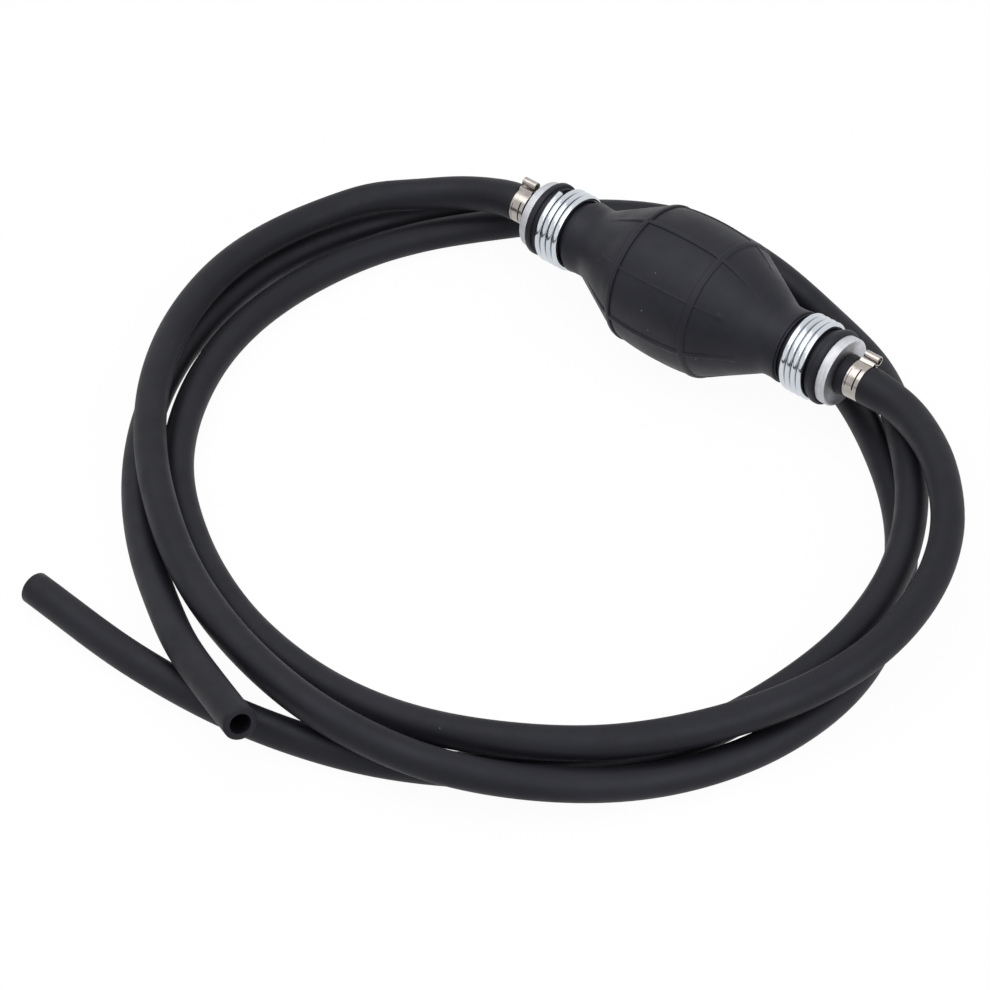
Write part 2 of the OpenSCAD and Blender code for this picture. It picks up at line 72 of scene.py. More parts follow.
# points are in millimetres, and an edge that turns by more than sharp, in degrees, is left unsmoothed
def addPiece(name, points, faces, material, sharp, laidStraight=None):
    mesh = bpy.data.meshes.new(name)
    mesh.from_pydata([tuple(p) for p in np.asarray(points, float) * mm], [], faces)
    mesh.validate()
    mesh.shade_smooth()
    mesh.set_sharp_from_angle(angle=math.radians(sharp))
    if laidStraight is not None:  # where each point would be with the tube or wire pulled straight
        layer = mesh.attributes.new("laidStraight", "FLOAT_VECTOR", "POINT")
        layer.data.foreach_set("vector", (laidStraight * mm).astype(np.float32).ravel())
    piece = bpy.data.objects.new(name, mesh)
    bpy.context.scene.collection.objects.link(piece)
    mesh.materials.append(material)
    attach(piece, "root")
    return piece


# four-sided faces between rings of points, ring after ring
def gridFaces(rows, sides, closed):
    faces = []
    for i in range(rows if closed else rows - 1):
        a, b = i * sides, (i + 1) % rows * sides
        faces += [(a + j, a + (j + 1) % sides, b + (j + 1) % sides, b + j) for j in range(sides)]
    return faces


def unit(v):
    return v / np.linalg.norm(v, axis=-1, keepdims=True)


def distancesAlong(path):
    return np.r_[0, np.cumsum(np.linalg.norm(np.diff(path, axis=0), axis=1))]


# corners are (x, r, reach), and each is rounded from reach before it to reach after it
def roundedOutline(corners, steps):
    out = []
    for i, (x, r, reach) in enumerate(corners):
        p = np.array([x, r], float)
        if reach == 0:
            out.append(p)
            continue
        a = p + reach * unit(np.array(corners[i - 1][:2], float) - p)
        b = p + reach * unit(np.array(corners[i + 1][:2], float) - p)
        for t in np.linspace(0, 1, steps + 1):
            out.append((1 - t) ** 2 * a + 2 * t * (1 - t) * p + t * t * b)
    return np.array(out)


# rings of points round a path, and the same points with the path pulled straight
def sweep(centres, out, across, radii, far, sides):
    angles = np.arange(sides) * 2 * math.pi / sides
    cos, sin = np.cos(angles), np.sin(angles)
    around = cos[None, :, None] * out[:, None] + sin[None, :, None] * across[:, None]
    rings = centres[:, None] + radii[:, None, None] * around
    lengths = np.repeat(far[:, None], sides, axis=1)
    straight = np.stack([radii[:, None] * cos, radii[:, None] * sin, lengths], axis=2)
    return rings.reshape(-1, 3), straight.reshape(-1, 3)


def linear(hexColour):
    channels = [int(hexColour[i:i + 2], 16) / 255 for i in (1, 3, 5)]
    return tuple(c / 12.92 if c <= 0.04045 else ((c + 0.055) / 1.055) ** 2.4 for c in channels) + (1,)


# a setting is an input by name or number, an option of the node, or the stops of its colour ramp,
# and a link comes from a socket or from a node's first output
def addNode(tree, kind, settings=(), links=()):
    node = tree.nodes.new("ShaderNode" + kind)
    for name, value in dict(settings).items():
        if name == "stops":
            for element, (position, shade) in zip(node.color_ramp.elements, value):
                element.position = position
                element.color = linear(shade) if isinstance(shade, str) else (shade, shade, shade, 1)
        elif isinstance(name, int) or name in node.inputs:
            node.inputs[name].default_value = value
        else:
            setattr(node, name, value)
    for name, source in dict(links).items():
        socket = source.outputs[0] if isinstance(source, bpy.types.Node) else source
        tree.links.new(socket, node.inputs[name])
    return node


def emptyTree(owner):
    owner.use_nodes = True
    owner.node_tree.nodes.clear()
    return owner.node_tree


# a pattern's scale from the size of its patches in millimetres; its values lie mostly between 0.3 and 0.75,
# so that is where the stops of the ramps are
def scaleOf(size):
    return 1 / (size * mm)


# 1 in a small speck of dust and 0 elsewhere: one speck to a cell, and none in the share of cells kept clean
def addSpecks(tree, vector, look):
    near = addNode(tree, "TexVoronoi", {"Scale": scaleOf(look["speckCell"])}, {"Vector": vector})
    draw = addNode(tree, "SeparateColor", links={"Color": near.outputs["Color"]})
    chosen = addNode(tree, "Math", {"operation": "GREATER_THAN", 1: look["cleanShare"]}, {0: draw})
    radius = look["speckSize"] / look["speckCell"] / 2
    inside = addNode(tree, "Math", {"operation": "LESS_THAN", 1: radius}, {0: near.outputs["Distance"]})
    return addNode(tree, "Math", {"operation": "MULTIPLY"}, {0: chosen, 1: inside})


# in each finish, sizes of patterns and depths are in millimetres, a pair of colours or of roughness values
# is what its pattern runs between, and long is how many times a pattern is drawn out along its piece

# black nitrile compound, compression moulded in a blasted mould: matt, with a faint bluish bloom and
# a few dust specks
bulbFinish = {
    "colours": ("#0D0D13", "#1B1B22"), "bloom": 24,
    "roughness": (0.44, 0.58), "patch": 11, "specular": 0.3, "tint": (0.88, 0.9, 1.0, 1),
    # the blasted grain of the mould is 0.1 mm, drawn at 0.6 mm so that it shows
    "grain": 0.6, "grainDepth": 0.012,
    "ripple": 14, "rippleDepth": 0.12,
    "speck": "#8A8A8C", "speckSize": 0.4, "speckCell": 5, "cleanShare": 0.6,
}


def mouldedRubber(look):
    material = bpy.data.materials.new("moulded nitrile rubber")
    tree = emptyTree(material)
    place = addNode(tree, "TexCoord").outputs["Object"]
    bloom = addNode(tree, "TexNoise", {
        "Scale": scaleOf(look["bloom"]), "Detail": 5, "Roughness": 0.6}, {"Vector": place})
    base = addNode(tree, "ValToRGB", {"stops": zip((0.35, 0.7), look["colours"])}, {"Fac": bloom})
    specks = addSpecks(tree, place, look)
    colour = addNode(tree, "Mix", {"data_type": "RGBA", 7: linear(look["speck"])}, {0: specks, 6: base})
    patches = addNode(tree, "TexNoise", {"Scale": scaleOf(look["patch"]), "Detail": 4}, {"Vector": place})
    roughness = addNode(tree, "ValToRGB", {"stops": zip((0.3, 0.75), look["roughness"])}, {"Fac": patches})
    grain = addNode(tree, "TexNoise", {"Scale": scaleOf(look["grain"])}, {"Vector": place})
    grained = addNode(tree, "Bump", {"Distance": look["grainDepth"] * mm}, {"Height": grain})
    ripple = addNode(tree, "TexNoise", {"Scale": scaleOf(look["ripple"]), "Detail": 1}, {"Vector": place})
    rippled = addNode(tree, "Bump", {"Distance": look["rippleDepth"] * mm}, {
        "Height": ripple, "Normal": grained})
    shader = addNode(tree, "BsdfPrincipled", {
        "IOR": 1.5, "Specular IOR Level": look["specular"], "Specular Tint": look["tint"],
    }, {"Base Color": colour.outputs[2], "Roughness": roughness, "Normal": rippled})
    addNode(tree, "OutputMaterial", links={"Surface": shader})
    return material


# black nitrile hose, extruded and steam cured: smooth with faint die lines along it, a soft gloss
hoseFinish = {
    "colours": ("#0D0D12", "#15151B"), "bloom": 16, "bloomLong": 4,
    "roughness": (0.5, 0.62), "patch": 9, "specular": 0.27, "tint": (0.88, 0.9, 1.0, 1),
    # die lines are 0.3 mm apart round the hose, drawn at 0.8 mm so that they show
    "lines": 0.8, "linesLong": 100, "linesDepth": 0.01,
    "waver": 12, "waverLong": 2, "waverDepth": 0.06,
    "speck": "#78787A", "speckSize": 0.4, "speckCell": 14, "cleanShare": 0.6,
}


def extrudedRubber(look):
    material = bpy.data.materials.new("extruded nitrile hose")
    tree = emptyTree(material)
    along = addNode(tree, "Attribute", {"attribute_name": "laidStraight"}).outputs["Vector"]
    drawn = addNode(tree, "Mapping", {"Scale": (1, 1, 1 / look["bloomLong"])}, {"Vector": along})
    bloom = addNode(tree, "TexNoise", {"Scale": scaleOf(look["bloom"]), "Detail": 3}, {"Vector": drawn})
    base = addNode(tree, "ValToRGB", {"stops": zip((0.35, 0.7), look["colours"])}, {"Fac": bloom})
    specks = addSpecks(tree, along, look)
    colour = addNode(tree, "Mix", {"data_type": "RGBA", 7: linear(look["speck"])}, {0: specks, 6: base})
    patches = addNode(tree, "TexNoise", {"Scale": scaleOf(look["patch"]), "Detail": 4}, {"Vector": along})
    roughness = addNode(tree, "ValToRGB", {"stops": zip((0.3, 0.75), look["roughness"])}, {"Fac": patches})
    drawn = addNode(tree, "Mapping", {"Scale": (1, 1, 1 / look["linesLong"])}, {"Vector": along})
    lines = addNode(tree, "TexNoise", {"Scale": scaleOf(look["lines"])}, {"Vector": drawn})
    lined = addNode(tree, "Bump", {"Distance": look["linesDepth"] * mm}, {"Height": lines})
    drawn = addNode(tree, "Mapping", {"Scale": (1, 1, 1 / look["waverLong"])}, {"Vector": along})
    waver = addNode(tree, "TexNoise", {"Scale": scaleOf(look["waver"]), "Detail": 1}, {"Vector": drawn})
    wavy = addNode(tree, "Bump", {"Distance": look["waverDepth"] * mm}, {"Height": waver, "Normal": lined})
    shader = addNode(tree, "BsdfPrincipled", {
        "IOR": 1.5, "Specular IOR Level": look["specular"], "Specular Tint": look["tint"],
    }, {"Base Color": colour.outputs[2], "Roughness": roughness, "Normal": wavy})
    addNode(tree, "OutputMaterial", links={"Surface": shader})
    return material


# aluminium bar turned on a lathe and left bare: satin, with fine rings round the axis
fittingFinish = {
    "colours": ("#ABACB2", "#DEDFE3"), "patch": 3.5,
    "ringColours": ("#E4E4E4", "#FFFFFF"), "roughness": (0.4, 0.55), "anisotropy": 0.75,
    # the tool's feed is 0.1 mm a turn, drawn at 0.5 mm so that it shows
    "rings": 0.5, "ringDepth": 0.012,
}


def turnedAluminium(look):
    material = bpy.data.materials.new("turned aluminium")
    tree = emptyTree(material)
    place = addNode(tree, "TexCoord").outputs["Object"]
    split = addNode(tree, "SeparateXYZ", links={"Vector": place})
    z = addNode(tree, "Math", {"operation": "SUBTRACT", 1: axisZ * mm}, {0: split.outputs["Z"]})
    aroundX = addNode(tree, "CombineXYZ", links={"X": split.outputs["Y"], "Y": z})
    radius = addNode(tree, "VectorMath", {"operation": "LENGTH"}, {0: aroundX}).outputs["Value"]
    ringPlace = addNode(tree, "CombineXYZ", links={"X": radius, "Y": split.outputs["X"]})
    rings = addNode(tree, "TexNoise", {
        "Scale": scaleOf(look["rings"]), "Detail": 3, "Roughness": 0.6}, {"Vector": ringPlace})
    patches = addNode(tree, "TexNoise", {
        "Scale": scaleOf(look["patch"]), "Detail": 4, "Roughness": 0.6}, {"Vector": place})
    dark, light = (linear(c) for c in look["colours"])
    handled = addNode(tree, "Mix", {"data_type": "RGBA", 6: dark, 7: light}, {0: patches})
    turned = addNode(tree, "ValToRGB", {"stops": zip((0.35, 0.65), look["ringColours"])}, {"Fac": rings})
    colour = addNode(tree, "Mix", {"data_type": "RGBA", "blend_type": "MULTIPLY", 0: 1.0},
                     {6: handled.outputs[2], 7: turned})
    roughness = addNode(tree, "ValToRGB", {"stops": zip((0.3, 0.7), look["roughness"])}, {"Fac": rings})
    grooved = addNode(tree, "Bump", {"Distance": look["ringDepth"] * mm}, {"Height": rings})
    circling = addNode(tree, "Tangent", {"direction_type": "RADIAL", "axis": "X"})
    shader = addNode(tree, "BsdfPrincipled", {"Metallic": 1.0, "Anisotropic": look["anisotropy"]}, {
        "Base Color": colour.outputs[2], "Roughness": roughness, "Normal": grooved, "Tangent": circling})
    addNode(tree, "OutputMaterial", links={"Surface": shader})
    return material


# hard-drawn steel wire, bright zinc plated and blue passivated: a cool white gloss with fine draw lines
wireFinish = {
    "colours": ("#BAC0C7", "#DCE0E5"), "tone": 3, "toneLong": 5, "roughness": (0.09, 0.18),
    # draw lines are 0.05 mm apart round the wire, drawn at 0.3 mm so that they show
    "lines": 0.3, "linesLong": 25, "linesDepth": 0.006,
}


def zincWire(look):
    material = bpy.data.materials.new("zinc plated wire")
    tree = emptyTree(material)
    along = addNode(tree, "Attribute", {"attribute_name": "laidStraight"}).outputs["Vector"]
    drawn = addNode(tree, "Mapping", {"Scale": (1, 1, 1 / look["toneLong"])}, {"Vector": along})
    tone = addNode(tree, "TexNoise", {"Scale": scaleOf(look["tone"]), "Detail": 3}, {"Vector": drawn})
    dark, light = (linear(c) for c in look["colours"])
    colour = addNode(tree, "Mix", {"data_type": "RGBA", 6: dark, 7: light}, {0: tone})
    drawn = addNode(tree, "Mapping", {"Scale": (1, 1, 1 / look["linesLong"])}, {"Vector": along})
    lines = addNode(tree, "TexNoise", {"Scale": scaleOf(look["lines"]), "Detail": 3}, {"Vector": drawn})
    roughness = addNode(tree, "ValToRGB", {"stops": zip((0.3, 0.7), look["roughness"])}, {"Fac": lines})
    lined = addNode(tree, "Bump", {"Distance": look["linesDepth"] * mm}, {"Height": lines})
    shader = addNode(tree, "BsdfPrincipled", {"Metallic": 1.0}, {
        "Base Color": colour.outputs[2], "Roughness": roughness, "Normal": lined})
    addNode(tree, "OutputMaterial", links={"Surface": shader})
    return material


# cold-rolled steel strip, nickel plated: warm grey gloss, handling marks and slight waves from the rolling
stripFinish = {
    "colours": ("#99938F", "#B8B1AC"), "tone": 2.5,
    "roughness": (0.16, 0.3), "marks": 1.2, "waves": 1.6, "waveDepth": 0.05,
}


def nickelStrip(look):
    material = bpy.data.materials.new("nickel plated strip")
    tree = emptyTree(material)
    place = addNode(tree, "TexCoord").outputs["Object"]
    tone = addNode(tree, "TexNoise", {"Scale": scaleOf(look["tone"]), "Detail": 3}, {"Vector": place})
    dark, light = (linear(c) for c in look["colours"])
    colour = addNode(tree, "Mix", {"data_type": "RGBA", 6: dark, 7: light}, {0: tone})
    marks = addNode(tree, "TexNoise", {
        "Scale": scaleOf(look["marks"]), "Detail": 4, "Roughness": 0.6}, {"Vector": place})
    roughness = addNode(tree, "ValToRGB", {"stops": zip((0.35, 0.7), look["roughness"])}, {"Fac": marks})
    waves = addNode(tree, "TexNoise", {"Scale": scaleOf(look["waves"])}, {"Vector": place})
    wavy = addNode(tree, "Bump", {"Distance": look["waveDepth"] * mm}, {"Height": waves})
    shader = addNode(tree, "BsdfPrincipled", {"Metallic": 1.0}, {
        "Base Color": colour.outputs[2], "Roughness": roughness, "Normal": wavy})
    addNode(tree, "OutputMaterial", links={"Surface": shader})
    return material


smallFinishes = {
    # brass bar, turned: yellow, satin
    "turned brass": {
        "colours": ("#C9A558", "#DDBD74"), "tone": 2,
        "roughness": (0.224, 0.336), "marks": 0.5, "depth": 0.005,
    },
    # bearing ball, ground and lapped: mirror bright
    "lapped bearing steel": {
        "colours": ("#B9BABD", "#CFD0D3"), "tone": 2,
        "roughness": (0.064, 0.096), "marks": 0.8, "depth": 0.005,
    },
    # snap ring, stamped and phosphated: dark grey, dull
    "phosphated spring steel": {
        "colours": ("#4B4B4E", "#636366"), "tone": 2,
        "roughness": (0.36, 0.54), "marks": 0.5, "depth": 0.005,
    },
    # spring wire, drawn, coiled and oiled: mid grey, a soft shine
    "oiled spring steel": {
        "colours": ("#8F8F92", "#ABABAF"), "tone": 2,
        "roughness": (0.208, 0.312), "marks": 0.4, "depth": 0.005,
    },
}


def smallMetal(name):
    look = smallFinishes[name]
    material = bpy.data.materials.new(name)
    tree = emptyTree(material)
    place = addNode(tree, "TexCoord").outputs["Object"]
    tone = addNode(tree, "TexNoise", {"Scale": scaleOf(look["tone"]), "Detail": 3}, {"Vector": place})
    dark, light = (linear(c) for c in look["colours"])
    colour = addNode(tree, "Mix", {"data_type": "RGBA", 6: dark, 7: light}, {0: tone})
    marks = addNode(tree, "TexNoise", {"Scale": scaleOf(look["marks"]), "Detail": 3}, {"Vector": place})
    roughness = addNode(tree, "ValToRGB", {"stops": zip((0.3, 0.7), look["roughness"])}, {"Fac": marks})
    marked = addNode(tree, "Bump", {"Distance": look["depth"] * mm}, {"Height": marks})
    shader = addNode(tree, "BsdfPrincipled", {"Metallic": 1.0}, {
        "Base Color": colour.outputs[2], "Roughness": roughness, "Normal": marked})
    addNode(tree, "OutputMaterial", links={"Surface": shader})
    return material


# nitrile ring from a polished mould: black, smooth, slightly waxy
sealFinish = {"colours": ("#141415", "#1D1D1F"), "tone": 2, "roughness": (0.35, 0.5), "patch": 1}


def sealRubber(look):
    material = bpy.data.materials.new("moulded O-ring")
    tree = emptyTree(material)
    place = addNode(tree, "TexCoord").outputs["Object"]
    tone = addNode(tree, "TexNoise", {"Scale": scaleOf(look["tone"]), "Detail": 3}, {"Vector": place})
    colour = addNode(tree, "ValToRGB", {"stops": zip((0.3, 0.7), look["colours"])}, {"Fac": tone})
    patches = addNode(tree, "TexNoise", {"Scale": scaleOf(look["patch"]), "Detail": 3}, {"Vector": place})
    roughness = addNode(tree, "ValToRGB", {"stops": zip((0.3, 0.7), look["roughness"])}, {"Fac": patches})
    shader = addNode(tree, "BsdfPrincipled", {"IOR": 1.5}, {"Base Color": colour, "Roughness": roughness})
    addNode(tree, "OutputMaterial", links={"Surface": shader})
    return material


bulbRubber = mouldedRubber(bulbFinish)
hoseRubber = extrudedRubber(hoseFinish)
coilZinc = zincWire(wireFinish)
clampNickel = nickelStrip(stripFinish)
springSteel = smallMetal("oiled spring steel")
brass = smallMetal("turned brass")
cadMaterials = {
    "fitting": turnedAluminium(fittingFinish),
    "valve_seat": brass,
    "spring_retainer": brass,
    "valve_ball": smallMetal("lapped bearing steel"),
    "snap_ring": smallMetal("phosphated spring steel"),
    "seal_ring": sealRubber(sealFinish),
}
for side in ("inlet", "outlet"):
    for part, material in cadMaterials.items():
        nodes[side + "_" + part].material_slots[0].material = material
print("materials made")

hose = {
    "radius": 6.5, "edge": 0.25, "sides": 32, "sharp": 50,
    # length on the fitting's tail, and points that lead straight out of the flange
    "onTail": 17, "leadIn": (0, 8, 16),
    # the route gets this many points between two of its own, and is then cut into steps and
    # relaxed this many times, apart from its straight start
    "between": 40, "step": 4.0, "relaxed": 6, "straight": 8.0,
    # outer radius at distances from the flange: butt end, clamp, barbs, free hose
    "outside": [(0, 5.25), (0, 7.95), (0.15, 8.35), (0.7, 8.6), (1.8, 8.55), (3.0, 8.4), (3.7, 8.1),
                (4.1, 7.5), (4.4, 7.42), (7.6, 7.4), (10.8, 7.42), (11.1, 7.55), (11.6, 7.8), (12.6, 7.86),
                (14.5, 7.8), (17, 7.7), (20, 7.55), (25, 7.32), (32, 7.2), (39, 7.08), (47, 6.88), (56, 6.7),
                (68, 6.6), (81, 6.54), (110, 6.5)],
    # radius of the bore, opened by the barbs of the tail
    "inside": [(0, 5.25), (2.4, 5.25), (2.5, 5.85), (7.2, 5.3), (7.3, 5.85), (12.1, 5.3), (12.2, 5.85),
               (17, 5.3), (19, 5.1), (26, 4.5), (36, 4.1), (50, 4.0)],
    # rings between those of the tables start here, and stay this far from them
    "ringsFrom": 4, "ringGap": 0.8,
}
inletRoute = [
    (-107, -1.5, 28.5), (-122.5, -7.5, 25.5), (-134, -16.5, 23.5), (-147, -29, 23),
    (-156, -46, 21), (-162, -67, 20.5), (-164, -95, 20.5), (-156, -131.5, 20.5),
    (-137, -168.5, 20.5), (-109.5, -200.5, 20.5), (-76, -227, 20), (-37, -249, 20),
    (6, -262.5, 19.5), (50, -267.5, 20.5), (90, -259.5, 18.5), (124.5, -236.5, 13.5),
    (150.5, -204.5, 8), (168.5, -165, 6.5), (173, -122, 6.5), (162, -80, 6.5),
    (138, -39, 6.5), (102, -5, 6.5), (60, 20.5, 6.5), (12, 33, 6.5), (-40, 42.5, 6.5),
    (-86, 37, 6.5), (-124, 11, 6.5), (-150, -29, 6.5), (-162, -77, 6.5), (-157.5, -121, 6.5),
    (-140, -166.5, 6.5), (-113, -204.5, 6.5), (-78.5, -236, 7.5), (-45.5, -258, 11.5),
    (-18, -274.5, 18), (5, -285, 23.5), (35, -298, 31),
]
outletRoute = [
    (110, -3, 32), (124.5, -10, 32.5), (138, -19, 32.5), (150.5, -31, 32), (163, -46.5, 31),
    (172, -64.5, 29), (178.5, -90, 27), (179, -118, 25), (171, -149, 22.5),
    (155.5, -180, 20.5), (132.5, -211.5, 20.5), (101, -236, 20.5), (62, -246.5, 13.5),
    (20, -247.5, 8), (-25, -239.5, 6.5), (-68, -220, 6.5), (-101.5, -194.5, 7),
    (-126.5, -160, 7), (-142, -120, 6.5), (-144, -72, 6.5), (-131, -26, 6.5),
    (-103.5, 8.5, 9.5), (-71.5, 29.5, 18), (-37.5, 44, 21.5), (0, 49, 17), (40, 43, 11.5),
    (77, 27, 14), (110, -2, 18.5), (139, -35.5, 20.5), (157.5, -72, 20.5),
    (164.5, -113, 18.5), (158, -152.5, 13), (141, -193, 7), (111, -230.5, 6.5),
    (68.5, -261, 6.5), (20, -277.5, 6.5), (-32, -283, 6.5), (-93, -280, 6.5),
]


# a smooth curve through the points, which also keeps the hose on or above the floor
def smoothPath(points):
    p = np.array(points, float)
    p = np.vstack([2 * p[0] - p[1], p, 2 * p[-1] - p[-2]])
    t = np.linspace(0, 1, hose["between"], endpoint=False)[:, None]
    spans = []
    for p0, p1, p2, p3 in zip(p[:-3], p[1:-2], p[2:-1], p[3:]):
        h0, h1, h2 = (np.linalg.norm(v) for v in (p1 - p0, p2 - p1, p3 - p2))
        m1 = ((p1 - p0) / h0 * h1 + (p2 - p1) / h1 * h0) / (h0 + h1) * h1
        m2 = ((p2 - p1) / h1 * h2 + (p3 - p2) / h2 * h1) / (h1 + h2) * h1
        spans.append((2 * t**3 - 3 * t**2 + 1) * p1 + (t**3 - 2 * t**2 + t) * m1
                     + (3 * t**2 - 2 * t**3) * p2 + (t**3 - t**2) * m2)
    curve = np.vstack(spans + [p[-2][None]])
    far = distancesAlong(curve)
    at = np.linspace(0, far[-1], int(round(far[-1] / hose["step"])) + 1)
    path = np.column_stack([np.interp(at, far, curve[:, k]) for k in range(3)])
    first = int(hose["straight"] / hose["step"])
    for _ in range(hose["relaxed"]):
        relaxed = (path[:-2] + 2 * path[1:-1] + path[2:]) / 4
        path[first + 1:-1] = relaxed[first:]
    path[:, 2] = np.maximum(path[:, 2], hose["radius"])
    return path


# centres and directions at the given distances along a path
def alongPath(path, distances):
    far = distancesAlong(path)
    tangents = unit(np.gradient(path, far, axis=0))
    centres, directions = (
        np.column_stack([np.interp(distances, far, v[:, k]) for k in range(3)]) for v in (path, tangents))
    return centres, unit(directions)


# a table of (distance, radius), with more rings in between at the regular distances
def withRegular(table, regular):
    far, radii = np.array(table).T
    extra = [(s, float(np.interp(s, far, radii))) for s in regular
             if s > hose["ringsFrom"] and np.abs(far - s).min() > hose["ringGap"]]
    return sorted(table + extra, key=lambda pair: pair[0])


def addHose(name, side, route, node):
    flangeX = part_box(node + "_fitting")[1 if side > 0 else 0].x / mm - side * hose["onTail"]
    path = smoothPath([(flangeX + side * d, 0, axisZ) for d in hose["leadIn"]] + route)
    length = float(distancesAlong(path)[-1])
    end = length - hose["edge"]
    regular = np.arange(hose["step"], end, hose["step"])
    outer, inner = withRegular(hose["outside"], regular), withRegular(hose["inside"], regular)
    # the open end, with its outer edge broken and its bore eased
    outer += [(end, outer[-1][1]), (length, outer[-1][1] - hose["edge"])]
    inner += [(end, inner[-1][1]), (length, inner[-1][1] + hose["edge"] / 2)]
    far, radii = np.array(outer + inner[:0:-1]).T
    centres, tangents = alongPath(path, far)
    flat = unit(np.cross(tangents, [0, 0, 1]))
    points, straight = sweep(centres, flat, np.cross(flat, tangents), radii, far, hose["sides"])
    faces = [face[::-1] for face in gridFaces(len(far), hose["sides"], True)]  # outwards
    piece = addPiece(name, points, faces, hoseRubber, hose["sharp"], straight)
    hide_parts(node + "_hose")
    print(name, "is", round(length), "mm long")


addHose("inlet_hose_smooth", -1, inletRoute, "inlet")
addHose("outlet_hose_smooth", 1, outletRoute, "outlet")

bulb = {
    # from the middle to the neck: x, radius, and how far the corner's rounding reaches
    "profile": [(0, 31, 0), (7, 31, 6.9), (20, 29.4, 5.5), (46.4, 15.2, 2.4), (75, 15.2, 0)],
    "wall": 3.2, "neckX": 46.4,
    # seat of the coil, ledges, rim and lip from the bulb outwards
    "ends": [(51.45, 15.2, 0), (54.95, 15.7, 0.7), (54.95, 14.8, 0.15), (55.8, 14.8, 0.1), (55.8, 13.75, 0),
             (70.1, 13.75, 0), (70.1, 14.8, 0.2), (72.0, 14.8, 0.25), (72.0, 16.1, 1.0), (75.0, 16.1, 1.2),
             (75.0, 11.05, 0), (49.0, 11.05, 0)],
    "ringX": 19.0, "ringWidth": 2.8, "ringHeight": 0.9,
    # long beads, main and fine in turn: they sink into the skin where they end
    "mainCount": 4, "mainAngle": 9.0, "mainWidth": 2.1, "mainHeight": 0.7, "mainReach": 42.0,
    "fineWidth": 1.4, "fineHeight": 0.4, "fineReach": 36.0, "sunk": 0.3,
    # points across a bead and between two, rings along the skin, and steps round a corner
    "across": (-1, -0.98, -0.92, -0.8, -0.5, 0, 0.5, 0.8, 0.92, 0.98, 1), "between": 9,
    "ringStep": 1.5, "cavityEvery": 3, "cornerSteps": 12, "endSteps": 5, "sharp": 40,
}


# nearly flat on top, with steep round sides
def beadHeight(offset, width, height):
    t = np.clip(np.abs(offset) / (width / 2), 0, 1)
    return height * np.sqrt(np.clip(1 - t ** 4, 0, 1))


# the bulb's closed section, skin and cavity: x, radius, and 1 on the skin that carries the beads
def bulbOutline():
    outline = roundedOutline(bulb["profile"], bulb["cornerSteps"])
    outline = outline[outline[:, 0] < bulb["ends"][0][0]]
    bead = bulb["ringX"] + np.array(bulb["across"]) * bulb["ringWidth"] / 2
    between = np.arange(bulb["ringStep"], bulb["neckX"], bulb["ringStep"])
    xs = np.unique(np.round(np.r_[outline[:, 0], bead, between], 3))
    skin = [(x, np.interp(x, outline[:, 0], outline[:, 1]), 1) for x in xs]
    ends = [(x, r, 0) for x, r in roundedOutline(bulb["ends"], bulb["endSteps"])]
    cavity = [(x, r - bulb["wall"], 0) for x, r, _ in skin[::bulb["cavityEvery"]] if x < bulb["neckX"]]
    half = skin + ends + cavity[:0:-1]
    return half + cavity[:1] + [(-x, r, onSkin) for x, r, onSkin in half[:0:-1]]


def bulbRing(x, r, onSkin):
    count = bulb["mainCount"] * 2
    offsets = np.array(bulb["across"])
    ringBead = beadHeight(abs(x) - bulb["ringX"], bulb["ringWidth"], bulb["ringHeight"]) if onSkin else 0
    angles, heights = [], []
    for k in range(count):
        kind, nextKind = ("fine", "main") if k % 2 else ("main", "fine")
        width, nextWidth = bulb[kind + "Width"], bulb[nextKind + "Width"]
        middle = math.radians(bulb["mainAngle"] + k * 360 / count)
        u = abs(x) / bulb[kind + "Reach"]
        rise = (bulb[kind + "Height"] + bulb["sunk"]) * (1 - u ** 4) - bulb["sunk"]
        bead = beadHeight(offsets * width / 2, width, max(0, rise) if onSkin else 0)
        angles += list(middle + offsets * width / 2 / r)
        heights += list(np.maximum(bead, ringBead))
        start = middle + width / 2 / r
        stop = middle + 2 * math.pi / count - nextWidth / 2 / r
        angles += list(np.linspace(start, stop, bulb["between"] + 2)[1:-1])
        heights += [ringBead] * bulb["between"]
    angles, radii = np.array(angles), r + np.array(heights)
    return np.column_stack([np.full(len(angles), x), -radii * np.sin(angles), axisZ + radii * np.cos(angles)])


def addBulb():
    rings = [bulbRing(x, r, onSkin) for x, r, onSkin in bulbOutline()]
    faces = gridFaces(len(rings), len(rings[0]), True)
    piece = addPiece("bulb_moulding", np.vstack(rings), faces, bulbRubber, bulb["sharp"])
    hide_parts("bulb")


addBulb()
print("bulb made")

# edge is what is broken off round a cut end, and endX the outer end of a coil
coil = {
    "wire": 2.65, "edge": 0.212, "bore": 28.0, "turns": 3.75, "endX": 69.9,
    "inletPitch": 3.0, "outletPitch": 2.8, "inletAngle": 100, "outletAngle": 280,
    "perTurn": 60, "sides": 18, "sharp": 35,
}
spring = {
    "wire": 0.8, "edge": 0.064, "middleD": 5.6, "turns": 4, "startAngle": 90,
    "perTurn": 40, "sides": 12, "sharp": 35,
}


